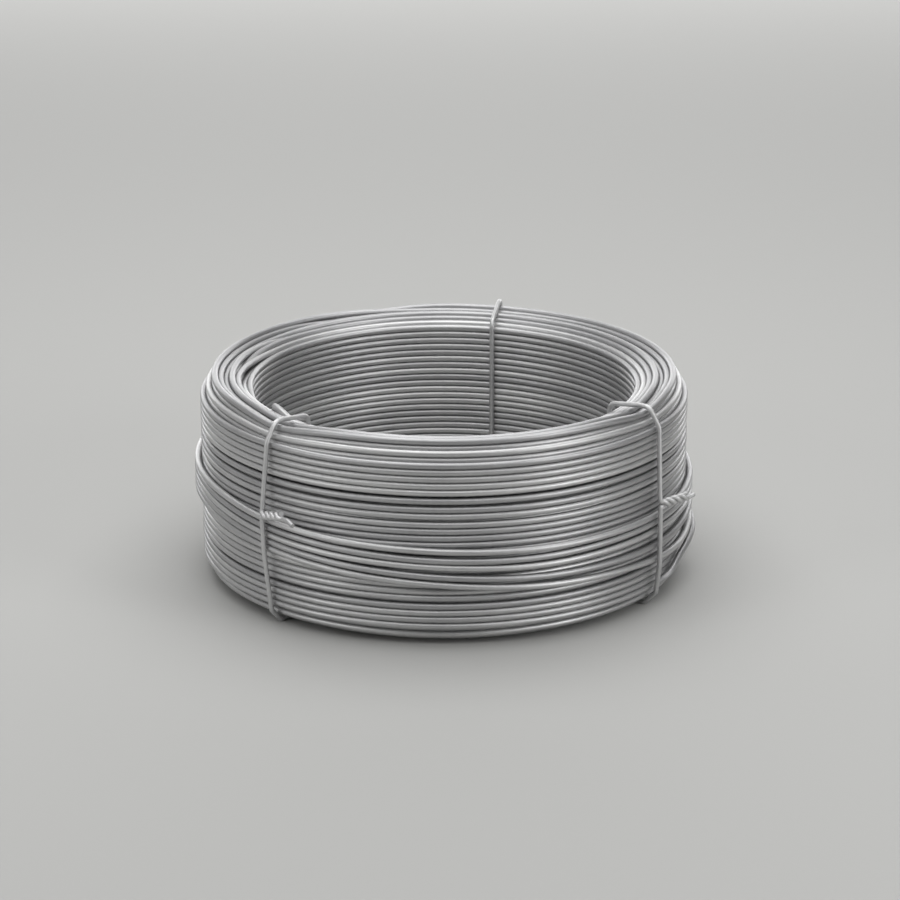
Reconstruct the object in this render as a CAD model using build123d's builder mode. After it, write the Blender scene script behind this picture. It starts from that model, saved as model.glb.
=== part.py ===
from build123d import *
from math import ceil, cos, radians, sin, sqrt, tan
import os

# Coil of bright wire rod, wound in close nested layers and held by three twisted wire ties.
# The frame has +Z up the coil's axis, with the floor at z = 0. The front of the coil faces -Y,
# and azimuths are counted from the front towards +X.

# wire and winding
wire_d = 5.5            # diameter of the wire rod
outer_r = 201.0         # outside radius of the wound turns
layer_count = 9         # layers between the bore and the outer wall
wall_height = 134.0     # straight height of the outermost layer
coil_height = 166.0     # height of the winding at its crown
shoulder_w = 16.0       # how far the crown's outer edge lies inside the outer wall
rim_drop = 9.0          # how far the upper end falls from its crown to the rim of the eye
groove_depth = 1.6      # depth of the groove between two turns
foot_rows = 2           # rows that the outermost layer lacks at the foot
wide_gaps = (6, 20)     # rows of the outer wall that end below its wider gaps

# loose outer turns, lying slantwise over the wall
loose_count = 4         # turns side by side
loose_z = 71.5          # their mean height above the coil's foot
loose_tilt = 5.1        # slant in degrees
loose_high = -120.0     # azimuth of their highest point

# wire ties
tie_d = 4.0             # diameter of the tie wire
tie_clearance = 0.3     # air between a tie and the turns that it holds
tie_bend = 5.0          # radius of a tie's sharp bends
slack_bend = 20.0       # radius of its slight bends
bend_step = 30.0        # how far each short facet of a bend turns, in degrees
wire_sides = 6          # flats round the drawn section of a tie
twist_turns = 1.5       # turns of the two strands about each other
twist_pitch = 16.0      # length of one such turn
twist_steps = 8         # bends in one turn of a strand
twist_tilt = 12.0       # how far the twisted end stands off the wall, in degrees

# each tie: its azimuth, and the height of its twist as a share of the coil's height
ties = {"tie_left": (-44.0, 0.52), "tie_right": (57.5, 0.49), "tie_back": (165.5, 0.58)}

layer_pitch = wire_d * sqrt(3) / 2
bore_r = outer_r - wire_d - (layer_count - 1) * layer_pitch
tie_off = tie_d / 2 + tie_clearance
foot_z = tie_d + tie_clearance
loose_half = loose_count * wire_d / 2
tie_run = outer_r + tie_off
twist_r = tie_d * 0.45
os.makedirs("parts", exist_ok=True)


def crown_z(r):
    """Height of the winding's top at radius r, above its foot."""
    inside_wall = outer_r - r
    if inside_wall < shoulder_w:
        reach = 1 - inside_wall / shoulder_w
        return wall_height + (coil_height - wall_height) * sqrt(1 - reach**2)
    return coil_height - rim_drop * (inside_wall - shoulder_w) / (outer_r - bore_r - shoulder_w)


def layer_r(layer):
    return outer_r - wire_d / 2 - layer * layer_pitch


def layer_start(layer):
    """Height of a layer's lowest turn: each second layer nests half a turn higher."""
    return wire_d / 2 + (layer % 2) * wire_d / 2


def top_turn(layer):
    room = crown_z(layer_r(layer)) - wire_d / 2 - layer_start(layer)
    return layer_start(layer) + int(room / wire_d) * wire_d


def upper_turns():
    """Centres of the turns that show on the upper end, from the wall to the eye."""
    last = layer_count - 1
    centres = [(layer_r(0), top_turn(0) - wire_d), (layer_r(0), top_turn(0))]
    for layer in range(1, layer_count):
        z = top_turn(layer)
        bare = max(1, ceil((z - centres[-1][1]) / wire_d))
        centres += [(layer_r(layer), z - row * wire_d) for row in reversed(range(bare))]
    return centres + [(layer_r(last), top_turn(last) - wire_d)]


def lower_ridges():
    """Outline of the lower end, from the eye to the wall.

    Each second layer stands half a turn in, and shows as the groove between its neighbours.
    The outermost layer begins higher up and leaves the side of the next one bare.
    """
    feet = [(layer_r(layer), layer_start(layer) - wire_d / 2) for layer in reversed(range(1, layer_count))]
    side = layer_r(1) + wire_d / 2
    z = foot_rows * wire_d
    return [
        (bore_r, wire_d / 2), *feet, (side, layer_start(1)), (side - groove_depth, layer_start(1) + wire_d / 2),
        (layer_r(0), z), (outer_r, z + wire_d / 2),
    ]


def wall_gaps():
    """Outline up the outer wall, with a groove at each of the wider gaps between its turns."""
    outline = []
    for row in wide_gaps:
        z = row * wire_d
        outline += [(outer_r, z - wire_d / 2), (outer_r - groove_depth, z), (outer_r, z + wire_d / 2)]
    return outline


def ridges(centres):
    """Outline over a row of turns: a crest on each turn, and a groove between two."""
    outline = []
    for before, here, after in zip(centres, centres[1:], centres[2:]):
        for low, high, lift in ((before, here, wire_d / 2 - groove_depth), (before, after, wire_d / 2)):
            dr, dz = high[0] - low[0], high[1] - low[1]
            run = sqrt(dr**2 + dz**2)
            foot = here if high is after else ((low[0] + high[0]) / 2, (low[1] + high[1]) / 2)
            outline.append((foot[0] + lift * dz / run, foot[1] - lift * dr / run))
    return outline


def upright(azimuth, z):
    """Plane through the axis at an azimuth: x runs outwards and y runs up."""
    out = (sin(radians(azimuth)), -cos(radians(azimuth)), 0)
    return Plane(origin=(0, 0, z), x_dir=out, z_dir=(out[1], -out[0], 0))


def loose_at(azimuth):
    """Height of the middle of the loose turns at an azimuth, above the coil's foot."""
    return loose_z + outer_r * tan(radians(loose_tilt)) * cos(radians(azimuth - loose_high))


def tie_route(azimuth):
    """Corners of a tie's loop in its upright plane, each with the radius of its bend.

    The wire is pulled tight, so it runs straight between the turns that it bears on, and at 45 degrees
    past the bare side of the second layer.
    """
    over = tie_run + wire_d
    top = coil_height + tie_off
    foot = layer_r(1) - layer_start(1) + (wire_d / 2 + tie_off) * sqrt(2)
    return [
        ((bore_r - tie_off, -tie_off), tie_bend),
        ((foot - tie_off, -tie_off), tie_bend),
        ((tie_run, tie_run - foot), tie_bend),
        ((over, loose_at(azimuth) - loose_half), slack_bend),
        ((over, loose_at(azimuth) + loose_half), slack_bend),
        ((tie_run, top_turn(0) + wire_d), tie_bend),
        ((outer_r - shoulder_w / 2, top), tie_bend),
        ((outer_r - shoulder_w, top), slack_bend),
        ((bore_r - tie_off, top - rim_drop), tie_bend),
    ]


def facet_points(loop):
    """Points round a loop that draw each bend with short facets, from the middle of a run."""
    points = []
    for edge in loop.order_edges():
        steps = 1
        if edge.geom_type == GeomType.CIRCLE:
            steps = ceil(edge.length / edge.radius / radians(bend_step))
        points += [edge @ (step / steps) for step in range(steps)]
    middle = (points[0] + points[1]) / 2
    return [(point.X, point.Y) for point in (middle, *points[1:], points[0])]


def run_r(azimuth, z):
    """Radius at which a tie's outer run passes a height on its way up the wall."""
    climb = [corner for corner, bend in tie_route(azimuth)][2:6]
    for low, high in zip(climb, climb[1:]):
        if z <= high[1]:
            return low[0] + (high[0] - low[0]) * (z - low[1]) / (high[1] - low[1])
    return tie_run


def twist_plane(azimuth, z):
    """Start of a tie's twisted end: x points out from the wall, and z runs along the twist."""
    out = Vector(sin(radians(azimuth)), -cos(radians(azimuth)), 0)
    along = Vector(cos(radians(azimuth)), sin(radians(azimuth)), 0)
    lean = radians(twist_tilt)
    return Plane(
        origin=out * (run_r(azimuth, z) + twist_r) + Vector(0, 0, foot_z + z),
        x_dir=out * cos(lean) - along * sin(lean),
        z_dir=along * cos(lean) + out * sin(lean),
    )


def twist_points(start):
    """Points of one strand of a twisted end, winding round its axis from a starting angle."""
    points = []
    for step in range(int(twist_turns * twist_steps) + 1):
        angle = radians(start + 360 * step / twist_steps)
        points.append((twist_r * cos(angle), twist_r * sin(angle), twist_pitch * step / twist_steps))
    return points


# the wound coil: one turned solid with its bore, and its loose turns on the wall
upper = ridges(upper_turns())
lower = lower_ridges()
lean = radians(loose_tilt)
high = radians(loose_high)
slant = Axis((0, 0, foot_z + loose_z), (-sin(lean) * sin(high), sin(lean) * cos(high), cos(lean)))
slant_plane = Plane(origin=slant.position, x_dir=(cos(high), sin(high), 0), z_dir=slant.direction)
band = [(outer_r + wire_d / 2, (turn + 0.5) * wire_d - loose_half) for turn in range(loose_count)]
band = [(outer_r - wire_d / 2, -loose_half)] + band + [(outer_r - wire_d / 2, loose_half)]
with BuildPart() as coil:
    with BuildSketch(upright(90, foot_z)):
        with BuildLine():
            Polyline(
                (outer_r, upper[0][1] - wire_d / 2), *upper, (bore_r, upper[-1][1] - wire_d),
                *lower, *wall_gaps(), close=True,
            )
        make_face()
    revolve(axis=Axis.Z)
    with BuildSketch(Plane(origin=slant.position, x_dir=slant_plane.x_dir, z_dir=-slant_plane.y_dir)):
        with BuildLine():
            Polyline(
                (outer_r - wire_d, -loose_half), *ridges(band), (outer_r - wire_d, loose_half), close=True
            )
        make_face()
    revolve(axis=slant)
coil.part.label = "coil"
export_step(coil.part, "parts/coil.step")
print("bore", round(bore_r, 2), "turns on the upper end", len(upper) // 2)

# the ties: a loop of wire round the winding, whose two ends are twisted together
for name, (azimuth, share) in ties.items():
    corners, bends = zip(*tie_route(azimuth))
    knot = twist_plane(azimuth, share * coil_height)
    with BuildLine() as soft:
        FilletPolyline(*corners, radius=list(bends), close=True)
    with BuildPart() as tie:
        with BuildLine(upright(azimuth, foot_z)) as loop:
            Polyline(*facet_points(soft.wires()[0]), close=True)
        with BuildSketch(Plane(origin=loop.line @ 0, z_dir=loop.line % 0)):
            RegularPolygon(tie_d / 2, wire_sides)
        sweep(transition=Transition.RIGHT)
        for strand in (0, 180):
            with BuildLine(knot) as helix:
                Polyline(*twist_points(strand))
            with BuildSketch(Plane(origin=helix.line @ 0, z_dir=helix.line % 0)):
                RegularPolygon(tie_d / 2, wire_sides)
            sweep(transition=Transition.RIGHT)
    tie.part.label = name
    export_step(tie.part, f"parts/{name}.step")
    print(name, "solids", len(tie.part.solids()), "loose turns at", round(loose_at(azimuth), 1))
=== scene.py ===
import random
from math import ceil, cos, exp, pi, radians, sin, sqrt, tan

import bpy
from mathutils import Matrix, Vector


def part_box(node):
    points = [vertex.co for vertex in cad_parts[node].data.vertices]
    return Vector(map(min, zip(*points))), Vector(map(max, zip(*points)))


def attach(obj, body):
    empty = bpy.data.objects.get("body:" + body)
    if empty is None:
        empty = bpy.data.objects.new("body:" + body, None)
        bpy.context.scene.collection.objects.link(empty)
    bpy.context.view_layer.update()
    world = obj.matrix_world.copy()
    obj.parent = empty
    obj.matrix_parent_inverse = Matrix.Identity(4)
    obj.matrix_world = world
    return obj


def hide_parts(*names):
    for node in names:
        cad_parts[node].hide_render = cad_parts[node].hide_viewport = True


# Coil of bright wire rod with three twisted ties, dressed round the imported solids.
# Metres throughout. The front of the coil faces -Y, and azimuths run from there towards +X.

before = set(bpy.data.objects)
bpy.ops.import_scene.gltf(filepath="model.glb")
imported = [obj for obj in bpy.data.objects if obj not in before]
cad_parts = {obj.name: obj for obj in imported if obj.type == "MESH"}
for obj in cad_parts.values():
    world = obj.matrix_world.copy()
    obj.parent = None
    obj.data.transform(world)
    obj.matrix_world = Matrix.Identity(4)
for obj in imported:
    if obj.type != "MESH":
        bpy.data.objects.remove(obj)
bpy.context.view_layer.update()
mm = 0.001
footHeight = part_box("coil")[0].z        # the ties pass under the coil and hold it off the floor
print("loaded", len(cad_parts), "solids")


# a point from its azimuth in degrees, its radius and its height
def polar(azimuth, radius, height):
    return Vector((radius * sin(radians(azimuth)), -radius * cos(radians(azimuth)), height))


# an azimuth that lies a share of the way from one to another
def between(a, b, share):
    return a + (b - a) * share


# from 0 to 1, starting and ending softly
def smooth(t):
    t = min(max(t, 0.0), 1.0)
    return t * t * (3 - 2 * t)


# sRGB hex to the linear values that shaders take
def colour(hexValue):
    parts = [int(hexValue[i:i + 2], 16) / 255 for i in (1, 3, 5)]
    return (*[c / 12.92 if c < 0.04045 else ((c + 0.055) / 1.055) ** 2.4 for c in parts], 1.0)


# one node in a tree, with its settings, its input values and its links from other nodes
def addNode(tree, kind, inputs=None, **settings):
    node = tree.nodes.new(kind)
    for name, value in settings.items():
        setattr(node, name, value)
    for name, value in (inputs or {}).items():
        if isinstance(value, bpy.types.NodeSocket):
            tree.links.new(value, node.inputs[name])
        else:
            node.inputs[name].default_value = value
    return node


# a smooth line through points, with steps of about the given length
def threadPoints(points, spacing):
    line = []
    for i in range(len(points) - 1):
        a, b = points[max(i - 1, 0)], points[i]
        c, d = points[i + 1], points[min(i + 2, len(points) - 1)]
        count = max(1, ceil((c - b).length / spacing))
        for k in range(count):
            t = k / count
            line.append((
                2 * b + (c - a) * t + (2 * a - 5 * b + 4 * c - d) * t**2 + (3 * b - a - 3 * c + d) * t**3
            ) / 2)
    return line + [points[-1]]


# Materials

wireLook = {
    "zinc": "#cecece",          # fresh zinc, a neutral pale grey
    "dullZinc": "#b0b0b1",      # where it has greyed
    "cloud": 60 * mm,           # size of the slow changes between the two
    "spangle": 3.0 * mm,        # size of the zinc's crystals
    "spangleShare": 0.10,       # how much a crystal adds to the greying
    "greyFrom": 0.55,           # sum of tone, cloud and crystal where the greying starts
    "greyFull": 1.5,            # and where it is complete
    "roughness": 0.46,
    "smoother": 0.05,           # how far the scratches lower the roughness
    "rougher": 0.08,            # and how far they raise it
    "drawLine": 0.35 * mm,      # spacing of the die's scratches, drawn coarser than real so that they show
    "scratchesPerMetre": 18.0,  # how soon they change along the wire
    "turnShift": 40.0,          # how far a turn's tone moves its scratches
    "scratchDepth": 0.05 * mm,
    "scratchStrength": 0.12,
}
tieFinish = {**wireLook, "zinc": "#d8d8d8", "roughness": 0.5}       # a little paler and duller


# Zinc-coated drawn steel wire: a bright metal with a soft sheen, fine scratches along it from the die,
# faint zinc crystals and slow changes from bright to greyed. "run" is the length along the wire,
# "around" the place round it and "tone" differs from turn to turn.
def zincWire(name, look):
    material = bpy.data.materials.new(name)
    material.use_nodes = True
    tree = material.node_tree
    tree.nodes.clear()
    place = addNode(tree, "ShaderNodeTexCoord")
    run = addNode(tree, "ShaderNodeAttribute", attribute_name="run")
    around = addNode(tree, "ShaderNodeAttribute", attribute_name="around")
    tone = addNode(tree, "ShaderNodeAttribute", attribute_name="tone")
    here = place.outputs["Object"]
    cloud = addNode(tree, "ShaderNodeTexNoise", {"Vector": here, "Scale": 1 / look["cloud"], "Detail": 3.0})
    spangle = addNode(tree, "ShaderNodeTexVoronoi", {"Vector": here, "Scale": 1 / look["spangle"]})
    grain = addNode(tree, "ShaderNodeMath", {
        0: spangle.outputs["Color"], 1: look["spangleShare"],
    }, operation="MULTIPLY")
    mixed = addNode(tree, "ShaderNodeMath", {
        0: tone.outputs["Fac"], 1: cloud.outputs["Fac"],
    }, operation="ADD")
    worn = addNode(tree, "ShaderNodeMath", {0: mixed.outputs[0], 1: grain.outputs[0]}, operation="ADD")
    share = addNode(tree, "ShaderNodeMapRange", {
        "Value": worn.outputs[0], "From Min": look["greyFrom"], "From Max": look["greyFull"],
    })
    base = addNode(tree, "ShaderNodeMix", {         # 6 and 7 are this node's two colour inputs
        0: share.outputs[0], 6: colour(look["zinc"]), 7: colour(look["dullZinc"]),
    }, data_type="RGBA")
    along = addNode(tree, "ShaderNodeCombineXYZ", {
        "X": run.outputs["Fac"], "Y": around.outputs["Fac"], "Z": tone.outputs["Fac"],
    })
    stretched = addNode(tree, "ShaderNodeMapping", {
        "Vector": along.outputs[0],
        "Scale": (look["scratchesPerMetre"], 1 / look["drawLine"], look["turnShift"]),
    })
    scratches = addNode(tree, "ShaderNodeTexNoise", {
        "Vector": stretched.outputs[0], "Scale": 1.0, "Detail": 2.0,
    })
    rough = addNode(tree, "ShaderNodeMapRange", {       # the noise lies mostly between 0.3 and 0.7
        "Value": scratches.outputs["Fac"], "From Min": 0.3, "From Max": 0.7,
        "To Min": look["roughness"] - look["smoother"], "To Max": look["roughness"] + look["rougher"],
    })
    bump = addNode(tree, "ShaderNodeBump", {
        "Height": scratches.outputs["Fac"], "Strength": look["scratchStrength"],
        "Distance": look["scratchDepth"],
    })
    shader = addNode(tree, "ShaderNodeBsdfPrincipled", {
        "Base Color": base.outputs[2], "Metallic": 1.0, "Roughness": rough.outputs[0],
        "Normal": bump.outputs[0],
    })
    addNode(tree, "ShaderNodeOutputMaterial", {"Surface": shader.outputs[0]})
    return material


zincRod = zincWire("zinc_coated_drawn_wire", wireLook)
zincTie = zincWire("zinc_coated_annealed_tie_wire", tieFinish)


# Wire along a route

wander = {
    "sharedPerMetre": 7.0,      # how soon the bends change that neighbouring turns share
    "ownPerMetre": 16.0,        # and those that each turn has to itself
    "toneShift": 37.0,          # how far a turn's tone shifts its own bends
    "noiseReach": 4.0,          # noise strays about a quarter to each side, and this makes it a whole bend
    "seed": 1,
}


# The mesh that comes in carries each point's tone. The tree bends the route a little, gives it its round
# section and stores the length along it and the place round it.
def wireTree():
    tree = bpy.data.node_groups.new("wire along a route", "GeometryNodeTree")
    face = tree.interface
    face.new_socket("Geometry", in_out="OUTPUT", socket_type="NodeSocketGeometry")
    inputs = {
        "Route": "Geometry", "Wire diameter": "Float", "Shared bend": "Float", "Own bend": "Float",
        "Sides": "Int", "Seed": "Int", "Material": "Material",
    }
    for name, kind in inputs.items():
        face.new_socket(name, in_out="INPUT", socket_type="NodeSocket" + kind)
    given = addNode(tree, "NodeGroupInput").outputs
    curve = addNode(tree, "GeometryNodeMeshToCurve", {"Mesh": given["Route"]})
    position = addNode(tree, "GeometryNodeInputPosition")
    tone = addNode(tree, "GeometryNodeInputNamedAttribute", {"Name": "tone"}, data_type="FLOAT")
    shift = addNode(tree, "ShaderNodeMath", {
        0: tone.outputs[0], 1: wander["toneShift"],
    }, operation="MULTIPLY")
    own = addNode(tree, "ShaderNodeMath", {0: shift.outputs[0], 1: given["Seed"]}, operation="ADD")
    offsets = []
    for pattern, size, perMetre in (
        (given["Seed"], given["Shared bend"], wander["sharedPerMetre"]),
        (own.outputs[0], given["Own bend"], wander["ownPerMetre"]),
    ):
        noise = addNode(tree, "ShaderNodeTexNoise", {
            "Vector": position.outputs[0], "W": pattern, "Scale": perMetre, "Detail": 1.0,
        }, noise_dimensions="4D")
        centred = addNode(tree, "ShaderNodeVectorMath", {
            0: noise.outputs["Color"], 1: (0.5, 0.5, 0.5),
        }, operation="SUBTRACT")
        reach = addNode(tree, "ShaderNodeMath", {0: size, 1: wander["noiseReach"]}, operation="MULTIPLY")
        offsets.append(addNode(tree, "ShaderNodeVectorMath", {
            0: centred.outputs[0], "Scale": reach.outputs[0],
        }, operation="SCALE"))
    both = addNode(tree, "ShaderNodeVectorMath", {
        0: offsets[0].outputs[0], 1: offsets[1].outputs[0],
    }, operation="ADD")
    bent = addNode(tree, "GeometryNodeSetPosition", {
        "Geometry": curve.outputs[0], "Offset": both.outputs[0],
    })
    length = addNode(tree, "GeometryNodeSplineParameter")
    marked = addNode(tree, "GeometryNodeStoreNamedAttribute", {
        "Geometry": bent.outputs[0], "Name": "run", "Value": length.outputs["Length"],
    }, data_type="FLOAT", domain="POINT")
    radius = addNode(tree, "ShaderNodeMath", {0: given["Wire diameter"], 1: 0.5}, operation="MULTIPLY")
    ring = addNode(tree, "GeometryNodeCurvePrimitiveCircle", {
        "Radius": radius.outputs[0], "Resolution": given["Sides"],
    })
    turn = addNode(tree, "GeometryNodeSplineParameter")
    ringMarked = addNode(tree, "GeometryNodeStoreNamedAttribute", {
        "Geometry": ring.outputs[0], "Name": "around", "Value": turn.outputs["Length"],
    }, data_type="FLOAT", domain="POINT")
    drawn = addNode(tree, "GeometryNodeCurveToMesh", {
        "Curve": marked.outputs[0], "Profile Curve": ringMarked.outputs[0], "Fill Caps": True,
    })
    shaded = addNode(tree, "GeometryNodeSetShadeSmooth", {"Geometry": drawn.outputs[0]})
    real = addNode(tree, "GeometryNodeRealizeInstances", {"Geometry": shaded.outputs[0]})
    finished = addNode(tree, "GeometryNodeSetMaterial", {
        "Geometry": real.outputs[0], "Material": given["Material"],
    })
    addNode(tree, "NodeGroupOutput", {"Geometry": finished.outputs[0]})
    return tree


wireAlong = wireTree()


# A plain mesh of round wire along one or more routes, each a list of points and a list of tones. The
# settings are those of the piece that it is for.
def drawWire(name, routes, material, settings):
    points, tones, edges = [], [], []
    for route, routeTones in routes:
        edges += [(len(points) + i, len(points) + i + 1) for i in range(len(route) - 1)]
        points += [tuple(p) for p in route]
        tones += routeTones
    mesh = bpy.data.meshes.new(name + "_route")
    mesh.from_pydata(points, edges, [])
    mesh.attributes.new("tone", "FLOAT", "POINT").data.foreach_set("value", tones)
    holder = bpy.data.objects.new(name + "_route", mesh)
    bpy.context.scene.collection.objects.link(holder)
    modifier = holder.modifiers.new("wire", "NODES")
    modifier.node_group = wireAlong
    values = {
        "Wire diameter": settings["wire"], "Sides": settings["sides"], "Material": material,
        "Shared bend": settings["sharedBend"], "Own bend": settings["ownBend"], "Seed": wander["seed"],
    }
    for item in wireAlong.interface.items_tree:
        if item.in_out == "INPUT" and item.name in values:
            modifier[item.identifier] = values[item.name]
    shown = holder.evaluated_get(bpy.context.evaluated_depsgraph_get())
    plain = bpy.data.meshes.new_from_object(shown)
    plain.name = name
    bpy.data.objects.remove(holder)
    bpy.data.meshes.remove(mesh)
    piece = bpy.data.objects.new(name, plain)
    bpy.context.scene.collection.objects.link(piece)
    print("made", name, "with", sum(len(p.vertices) - 2 for p in plain.polygons), "triangles")
    return piece


# The winding

winding = {
    "wire": 5.5 * mm,
    "outerRadius": 201 * mm,
    "layers": 9,
    "wallHeight": 134 * mm,     # straight height of the outermost layer
    "coilHeight": 166 * mm,     # height at the crown
    "shoulder": 16 * mm,        # how far the crown's outer edge lies inside the wall
    "rimDrop": 9 * mm,          # how far the upper end falls from the crown to the eye
    "footRows": 2,              # rows that the outermost layer lacks at the foot
    "wideGaps": (6, 18, 20, 21),    # rows of the outer wall that end below its wider gaps
    "innerEnd": 302,            # azimuth where the wire begins, beside the left tie
    "endLift": 7 * mm,          # that end stands up from the rim
    "endReach": 12,             # degrees from that end to where the wire lies flat
    "outerEnd": 59,             # azimuth where it leaves the outermost layer, beside the right tie
    "crossover": 34,            # degrees over which a turn steps to the next
    "crossoverAt": 190,         # azimuth of the outermost layer's steps, at the back
    "crossoverCreep": 14,       # how much further round each next layer in has its own
    "crossoverDrift": 8,        # degrees to each side that they wander by
    "press": 5 * mm,            # how far the two front ties press the crown down
    "pressedAt": (-43.5, 58),   # azimuths of those ties
    "pressWidth": 11,           # degrees to each side of a tie
    "pressRows": 5,             # rows that give way, less and less from the top down
    "pressOuter": 2,            # layers from the outer wall to where they give way in full
    "pressInner": 4,            # and from the inner wall
    "step": 2.4,                # degrees between the points of a route
    "sides": 10,
    "sharedBend": 0.25 * mm,
    "ownBend": 0.07 * mm,
    "seed": 11,
}
wire = winding["wire"]
wideGap = wire / len(winding["wideGaps"])           # the wider gaps take up one turn together
layerPitch = wire * sqrt(3) / 2
innermost = winding["layers"] - 1
boreRadius = winding["outerRadius"] - wire - innermost * layerPitch


def layerRadius(layer):
    return winding["outerRadius"] - wire / 2 - layer * layerPitch


# how high the winding stands at a radius, above its foot
def crownHeight(r):
    inside = winding["outerRadius"] - r
    rise = winding["coilHeight"] - winding["wallHeight"]
    if inside < winding["shoulder"]:
        return winding["wallHeight"] + rise * sqrt(1 - (1 - inside / winding["shoulder"]) ** 2)
    slope = (inside - winding["shoulder"]) / (winding["outerRadius"] - boreRadius - winding["shoulder"])
    return winding["coilHeight"] - winding["rimDrop"] * slope


# heights of a layer's turns above the foot; each second layer nests half a turn up
def layerHeights(layer):
    low = wire / 2 + (layer % 2) * wire / 2
    count = int((crownHeight(layerRadius(layer)) - wire / 2 - low) / wire) + 1
    if layer:
        return [low + row * wire for row in range(count)]
    heights = []
    for row in range(winding["footRows"], count - 1):       # one turn fewer, for the wider gaps
        heights.append(low + row * wire + wideGap * sum(row >= wide for wide in winding["wideGaps"]))
    return heights


# The whole wire, from the inner layer's first turn to the outer layer's last, as levels: stretches at one
# radius and height. Each steps to the next at its layer's crossover, and a layer's last level at the next
# layer's, where the wire climbs over.
def windLevels():
    draw = random.Random(winding["seed"])
    angle = winding["innerEnd"]
    levels = []
    for layer in reversed(range(winding["layers"])):
        heights = layerHeights(layer)
        order = list(range(len(heights)))
        if layer % 2 == innermost % 2:              # wound downwards
            order.reverse()
        crossing = winding["crossoverAt"] + layer * winding["crossoverCreep"]
        for row in order:
            end = crossing + draw.uniform(-winding["crossoverDrift"], winding["crossoverDrift"])
            if row == order[-1]:
                end = crossing - winding["crossoverCreep"] if layer else winding["outerEnd"]
            end += 360 * ceil((angle + winding["crossover"] - end) / 360)
            levels.append({
                "layer": layer, "row": row, "fromTop": len(heights) - 1 - row, "start": angle, "end": end,
                "r": layerRadius(layer), "z": footHeight + heights[row], "tone": draw.random(),
            })
            angle = end
    return levels


# how far the ties press a turn down at an azimuth: the upper turns between the walls give way
def pressed(level, azimuth):
    layer = level["layer"]
    if layer in (0, innermost):
        return 0
    give = max(0, 1 - level["fromTop"] / winding["pressRows"])
    give *= min(1, layer / winding["pressOuter"], (innermost - layer) / winding["pressInner"])
    near = 0
    for tieAt in winding["pressedAt"]:
        away = (azimuth - tieAt + 180) % 360 - 180
        near += exp(-(away / winding["pressWidth"]) ** 2)
    return winding["press"] * give * near


# the route along a stretch of levels, stepping softly from each to the next
def levelRoute(stretch, following, step):
    points, tones = [], []
    for here, after in zip(stretch, stretch[1:] + [following]):
        count = max(2, ceil((here["end"] - here["start"]) / step))
        for k in range(count + (after is None)):
            azimuth = here["start"] + (here["end"] - here["start"]) * k / count
            share = smooth(1 + (azimuth - here["end"]) / winding["crossover"]) if after else 0
            target = after or here
            r = here["r"] + (target["r"] - here["r"]) * share
            z = here["z"] + (target["z"] - here["z"]) * share
            z -= pressed(here, azimuth) * (1 - share) + pressed(target, azimuth) * share
            z += winding["endLift"] * (1 - smooth((azimuth - winding["innerEnd"]) / winding["endReach"]))
            points.append(polar(azimuth, r, z))
            tones.append(here["tone"] + (target["tone"] - here["tone"]) * share)
    return points, tones


# the routes of those levels that a test picks, each unbroken stretch as one route
def pickRoutes(levels, wanted, step):
    routes, stretch = [], []
    for here, after in zip(levels, levels[1:] + [None]):
        if wanted(here):
            stretch.append(here)
        if stretch and (after is None or not wanted(after)):
            routes.append(levelRoute(stretch, after, step))
            stretch = []
    return routes


# rows of the layers between the walls that belong to the two ends
endRows = {
    "upper": 4,
    "shoulder": 6,          # at the upper end of the outer layers, which stand like stairs
    "shoulderLayers": 2,
    "lower": 2,
}


def onOuterWall(level):
    return level["layer"] == 0


def onInnerWall(level):
    return level["layer"] == innermost


def onUpperEnd(level):
    rows = endRows["shoulder"] if level["layer"] <= endRows["shoulderLayers"] else endRows["upper"]
    return 0 < level["layer"] < innermost and level["fromTop"] < rows


def onLowerEnd(level):
    return 0 < level["layer"] < innermost and level["row"] < endRows["lower"]


def behindWalls(level):
    return level["layer"] in (1, innermost - 1) and not onUpperEnd(level) and not onLowerEnd(level)


def windPiece(name, test, settings):
    piece = drawWire(name, pickRoutes(levels, test, settings["step"]), zincRod, settings)
    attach(piece, "root")
    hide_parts("coil")


levels = windLevels()
windPiece("outer_wall_turns", onOuterWall, winding)
windPiece("inner_wall_turns", onInnerWall, winding)
windPiece("upper_end_turns", onUpperEnd, winding)
windPiece("lower_end_turns", onLowerEnd, winding)
windPiece("turns_behind_the_walls", behindWalls, {**winding, "step": 4.8, "sides": 6})      # nearly hidden
print("wound", round((levels[-1]["end"] - levels[0]["start"]) / 360), "turns in", len(levels), "levels")


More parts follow.
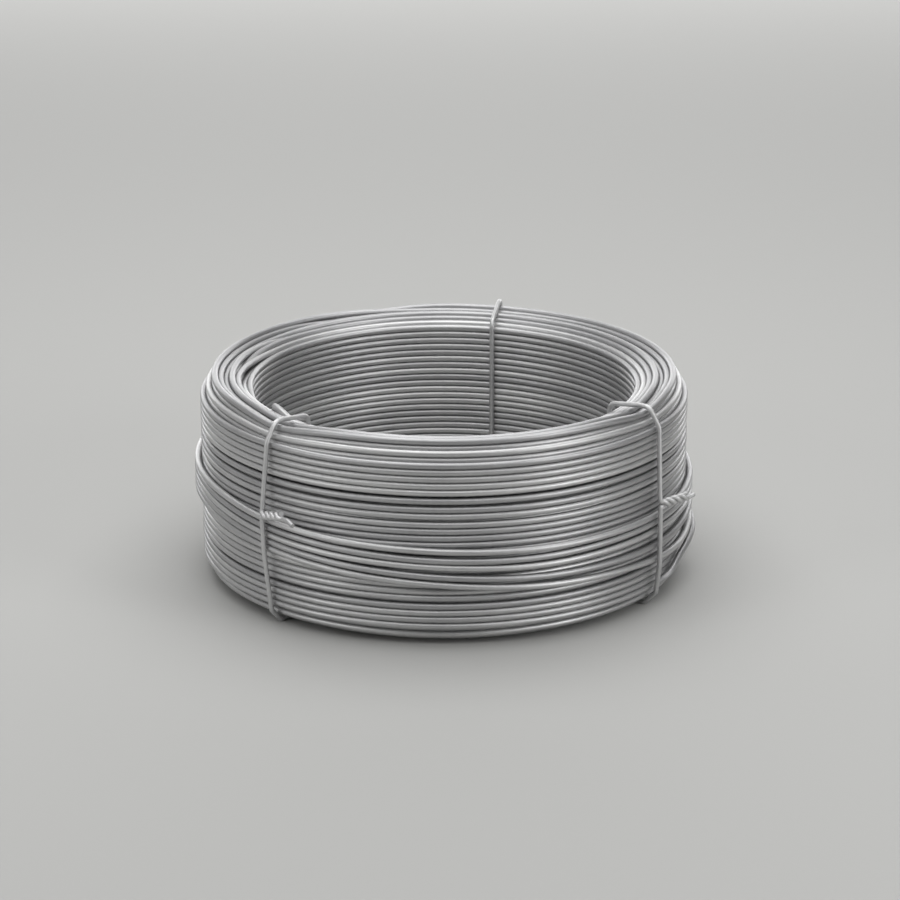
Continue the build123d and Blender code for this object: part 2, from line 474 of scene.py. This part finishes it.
# The loose turns: the wire's last length leaves the outermost layer's lowest row beside the right tie, stands
# off the wall in a small loop, runs slantwise round the coil and ends under the back tie. Each point is an
# azimuth and a height above the foot in mm, one turn after another.
looseTurns = {
    "wire": winding["wire"],
    "lift": 0.15 * mm,          # air between it and the wall's turns
    "climb": 6,                 # degrees in which it rises onto the wall
    "loopAt": 81,               # azimuth where the loop stands off furthest
    "loopWidth": 14,            # degrees to each side
    "loopOff": 3.5 * mm,
    "spacing": 2.4,             # between the points of the drawn route, whose knots are in degrees and mm
    "tone": (0.5, 0.4, 97),     # its middle, how far it swings, and degrees in which it changes
    "sides": 12,
    "sharedBend": 0.25 * mm,
    "ownBend": 0.05 * mm,
    "route": [
        (59, 13.75), (62, 14.6), (65, 18.5), (70, 25), (76, 30.5), (82, 34.5), (88, 38), (95, 42.5),
        (105, 48), (130, 55.5), (165.5, 63), (200, 68.5), (240, 71.5), (270, 70.5), (285, 69.5),
        (300, 66.5), (315, 62), (335, 56), (360, 50), (380, 45), (400, 42),

        (419, 38), (430, 37), (438, 38.5), (446, 42.5), (456, 49), (466, 54.5), (490, 62), (525.5, 68.7),
        (560, 74.2), (600, 77.1), (630, 76), (645, 75), (660, 72), (675, 67.5), (695, 62), (720, 56.5),
        (740, 52.5), (760, 51),

        (779, 50.5), (800, 54), (816, 57), (826, 60.2), (850, 67.8), (885.5, 74.4), (920, 79.8),
        (960, 82.7), (990, 81.5), (1005, 80.5), (1020, 77.5), (1035, 73), (1055, 68.5), (1080, 64.5),
        (1100, 62), (1120, 62.5),

        (1139, 63.5), (1160, 65), (1186, 68), (1210, 73.6), (1245.5, 80.1), (1280, 85.4), (1320, 88.3),
        (1350, 87), (1365, 86), (1380, 83.5), (1395, 79), (1415, 74.5), (1440, 70), (1460, 68.5),
        (1480, 69.5),

        (1499, 70.5), (1520, 72.5), (1546, 75.5), (1570, 79.6), (1605.5, 85.8), (1640, 91), (1680, 93.9),
        (1710, 92.5), (1725, 91.5), (1740, 89.5), (1755, 85), (1775, 81), (1800, 77.5), (1820, 75.5),
        (1840, 75.5),

        (1859, 76.2), (1880, 78.5), (1906, 81.5), (1930, 85.6), (1965.5, 91.5), (1974, 93),
    ],
}


def looseRoute():
    onWall = winding["outerRadius"] + wire / 2 + looseTurns["lift"]
    first = looseTurns["route"][0][0]
    knots = []
    for azimuth, height in looseTurns["route"]:
        climb = smooth((azimuth - first) / looseTurns["climb"])
        loop = smooth(1 - abs(azimuth - looseTurns["loopAt"]) / looseTurns["loopWidth"])
        r = layerRadius(0) + (onWall - layerRadius(0)) * climb + looseTurns["loopOff"] * loop
        knots.append(Vector((azimuth, r / mm, footHeight / mm + height)))
    line = threadPoints(knots, looseTurns["spacing"])
    middle, swing, change = looseTurns["tone"]
    return [polar(p.x, p.y * mm, p.z * mm) for p in line], [middle + swing * sin(p.x / change) for p in line]


loosePiece = drawWire("loose_outer_turns", [looseRoute()], zincRod, looseTurns)
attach(loosePiece, "root")
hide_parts("coil")


# The ties

tieLook = {
    "wire": 4.0 * mm,
    "clearance": 0.3 * mm,      # air between a tie and the turns that it holds
    "looseRise": 5.7 * mm,      # how far the loose turns lift a tie off the wall
    "crownReach": 8.8 * mm,     # how far outside the crown's ridge a tie bends down to the wall
    "twistPitch": 14 * mm,
    "twistTurns": 2.0,
    "twistSteps": 14,           # points in one turn of a strand
    "twistLean": 12,            # degrees that the twisted end stands off the wall
    "twistOut": 0.8 * mm,       # how far the twist's axis lies outside the loop's
    "twistStart": 2 * mm,       # from the loop's line to where the twist begins
    "twistRoom": 6 * mm,        # how far above a twist its loop leaves the loose turns
    "entry": 2.4 * mm,          # above and below the twist's axis, where the loop's ends turn into it
    "entryBend": 2.2 * mm,
    "tailBend": 8 * mm,
    "tailBow": 0.3,             # how far the loose strand bows up, as a share of what it hangs
    "bendStep": 12,             # degrees that each facet of a bend turns
    "bendShare": 0.48,          # the most of a straight run that the bend at its end takes
    "slightTurn": 0.02,         # radians; a corner that turns less stays a corner
    "spacing": 2.5 * mm,        # between the points of a route
    "tone": 0.3,
    "sides": 12,
    "sharedBend": 0.2 * mm,
    "ownBend": 0.1 * mm,
}
# Each tie: its azimuths on the upper wall, over the loose turns, at the foot and in the eye, and the heights
# in mm between which the loose turns lie under it. Of its twisted end: the height in mm, the rise in degrees,
# the length of its loose strand and how far that hangs. "press" is how far it pulls the crown down.
tiePlaces = {
    "tie_left": {
        "wall": -43.2, "over": -43.2, "foot": -42.5, "eye": -44.0, "loose": (59, 87),
        "twist": 90, "rise": 14, "tail": 16 * mm, "hang": 5 * mm, "press": winding["press"],
    },
    "tie_right": {
        "wall": 57.3, "over": 55.5, "foot": 57.3, "eye": 59.0, "loose": (35, 79),
        "twist": 87, "rise": 0, "tail": 9 * mm, "hang": -1.0 * mm, "press": winding["press"],
    },
    "tie_back": {
        "wall": 165.5, "over": 165.5, "foot": 165.0, "eye": 164.5, "loose": (60, 94),
        "twist": 96, "rise": 0, "tail": 8 * mm, "hang": 1.0 * mm, "press": 0,
    },
}


# A wire's route through corners, each a place and the radius of its bend. Straight runs are split so that
# the wire can wander a little.
def bendRoute(corners):
    line = [corners[0][0]]
    for (before, _), (corner, bend), (after, _) in zip(corners, corners[1:], corners[2:]):
        a = (before - corner).normalized()
        b = (after - corner).normalized()
        turn = pi - a.angle(b)
        if not bend or turn < tieLook["slightTurn"]:
            line.append(corner)
            continue
        shorter = min((before - corner).length, (after - corner).length)
        reach = min(bend * tan(turn / 2), tieLook["bendShare"] * shorter)
        centre = corner + (a + b).normalized() * reach / sin(turn / 2)
        spoke = corner + a * reach - centre
        steps = ceil(turn / radians(tieLook["bendStep"]))
        for k in range(steps + 1):
            line.append(centre + Matrix.Rotation(turn * k / steps, 3, b.cross(a)) @ spoke)
    line.append(corners[-1][0])
    fine = []
    for a, b in zip(line, line[1:]):
        count = max(1, round((b - a).length / tieLook["spacing"]))
        fine += [a.lerp(b, k / count) for k in range(count)]
    return fine + [line[-1]]


# the whole tie: one strand of the twist, the loop round the winding from above the twist to below it, and
# the other strand with its loose end
def tieRoute(place):
    off = tieLook["wire"] / 2 + tieLook["clearance"]
    outer = winding["outerRadius"] + off
    inner = boreRadius - off
    over = outer + tieLook["looseRise"]
    foot = footHeight - off
    top = footHeight + winding["coilHeight"] + off
    crown = top - place["press"]
    ridge = winding["outerRadius"] - winding["shoulder"]
    low, high = (footHeight + h * mm for h in place["loose"])
    wallTop = footHeight + layerHeights(0)[-1] + wire / 2
    firstTurn = layerHeights(1)[0]                  # the tie passes this bare turn at a slant of 45 degrees
    slant = layerRadius(1) - firstTurn + (wire / 2 + off) * sqrt(2)
    twistAt = footHeight + place["twist"] * mm

    wall, onLoose, atFoot, eye = (place[spot] for spot in ("wall", "over", "foot", "eye"))
    lean, climb = radians(tieLook["twistLean"]), radians(place["rise"])
    out = polar(onLoose, 1, 0)
    flat = polar(onLoose + 90, 1, 0) * cos(lean) + out * sin(lean)
    up = Vector((0, 0, 1))
    axis = flat * cos(climb) + up * sin(climb)
    across = up * cos(climb) - flat * sin(climb)
    side = across.cross(axis)
    base = polar(onLoose, over + tieLook["twistOut"], twistAt)
    strands = []
    for start in (90, -90):
        strand = []
        for k in range(int(tieLook["twistSteps"] * tieLook["twistTurns"]) + 1):
            share = k / tieLook["twistSteps"]       # of a turn
            turn = radians(start + 360 * share)
            ring = (side * cos(turn) + across * sin(turn)) * tieLook["wire"] / 2
            strand.append((base + axis * (tieLook["twistPitch"] * share + tieLook["twistStart"]) + ring, 0))
        strands.append(strand)
    tail = axis * place["tail"] - up * place["hang"]
    last = strands[1][-1][0]
    bow = up * tieLook["tailBow"] * place["hang"]
    strands[1] += [(last + tail / 2 + bow, tieLook["tailBend"]), (last + tail, 0)]

    loop = [                        # azimuth, radius, height, bend in mm
        (onLoose, over, max(high, twistAt + tieLook["twistRoom"]), 20),
        (wall, outer, wallTop, 9),
        (between(wall, eye, 0.15), ridge + tieLook["crownReach"], crown, 10),
        (between(wall, eye, 0.4), ridge, crown, 14),
        (eye, inner, top - winding["rimDrop"], 7),
        (eye, inner, foot, 6),
        (atFoot, slant - off, foot, 5),
        (atFoot, outer, footHeight + outer - slant, 5),
        (between(onLoose, atFoot, 0.3), over, low, 20),
    ]
    entry = up * tieLook["entry"]
    corners = strands[0][::-1] + [(base + entry, tieLook["entryBend"])]
    corners += [(polar(azimuth, r, z), bend * mm) for azimuth, r, z, bend in loop]
    corners += [(base - entry, tieLook["entryBend"])] + strands[1]
    return bendRoute(corners)


for name, place in tiePlaces.items():
    route = tieRoute(place)
    tie = drawWire(name + "_wire", [(route, [tieLook["tone"]] * len(route))], zincTie, tieLook)
    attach(tie, "root")
    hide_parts(name)


# The stage: floor, camera and light

stage = {
    "floor": "#b4b4b2",
    "floorRoughness": 0.9,
    "floorSize": 14,
    "world": "#c8c8c8",
    "worldStrength": 0.25,
    "cameraDistance": 14.0,     # in outer radii
    "elevation": 18.75,         # degrees that the camera looks down by
    "pixelsPerRadius": 241.6,   # the outer radius in the photo
    "centre": (444.1, 460.3),   # where the coil's middle shows in it
    "photoSide": 900,
    "lookHeight": 83.6 * mm,    # of the coil's middle, above its foot
    "sensor": 36,               # mm
    "lightsAt": 80 * mm,        # height that the softboxes point at
    "softboxes": {              # place and size in metres, and watts
        "top_softbox": ((0.0, 0.3, 2.0), (2.6, 2.0), 37),
        "back_softbox": ((0.0, 3.2, 0.8), (5.6, 1.2), 66),
        "left_softbox": ((-1.9, -1.3, 0.9), (1.0, 1.2), 9),
        "right_softbox": ((1.9, -1.3, 0.9), (1.0, 1.2), 16),
        "front_softbox": ((0.0, -1.6, 2.1), (2.4, 0.8), 13),
        "side_softbox": ((-2.0, 0.7, 0.9), (1.0, 1.0), 2),
    },
}

bpy.ops.mesh.primitive_plane_add(size=stage["floorSize"])
ground = bpy.context.object
ground.name = "floor"
matt = bpy.data.materials.new("pale_matt_floor")
matt.use_nodes = True
mattShader = matt.node_tree.nodes["Principled BSDF"]
mattShader.inputs["Base Color"].default_value = colour(stage["floor"])
mattShader.inputs["Roughness"].default_value = stage["floorRoughness"]
ground.data.materials.append(matt)

cameraData = bpy.data.cameras.new("camera")
camera = bpy.data.objects.new("camera", cameraData)
bpy.context.scene.collection.objects.link(camera)
target = Vector((0, 0, footHeight + stage["lookHeight"]))
reach = stage["cameraDistance"] * winding["outerRadius"]
rise = radians(stage["elevation"])
camera.location = target + Vector((0, -cos(rise), sin(rise))) * reach
camera.rotation_euler = (target - camera.location).to_track_quat("-Z", "Y").to_euler()
side = stage["photoSide"]
cameraData.sensor_width = stage["sensor"]
cameraData.lens = stage["sensor"] * stage["pixelsPerRadius"] * stage["cameraDistance"] / side
cameraData.shift_x = (side / 2 - stage["centre"][0]) / side
cameraData.shift_y = (stage["centre"][1] - side / 2) / side
bpy.context.scene.camera = camera

for name, (place, size, power) in stage["softboxes"].items():
    data = bpy.data.lights.new(name, "AREA")
    data.shape = "RECTANGLE"
    data.size, data.size_y = size
    data.energy = power
    light = bpy.data.objects.new(name, data)
    light.location = place
    aim = Vector((0, 0, stage["lightsAt"])) - Vector(place)
    light.rotation_euler = aim.to_track_quat("-Z", "Y").to_euler()
    bpy.context.scene.collection.objects.link(light)

world = bpy.data.worlds.new("pale studio")
bpy.context.scene.world = world
world.use_nodes = True
sky = world.node_tree.nodes["Background"]
sky.inputs["Color"].default_value = colour(stage["world"])
sky.inputs["Strength"].default_value = stage["worldStrength"]
bpy.context.scene.view_settings.view_transform = "Standard"
print("staged")
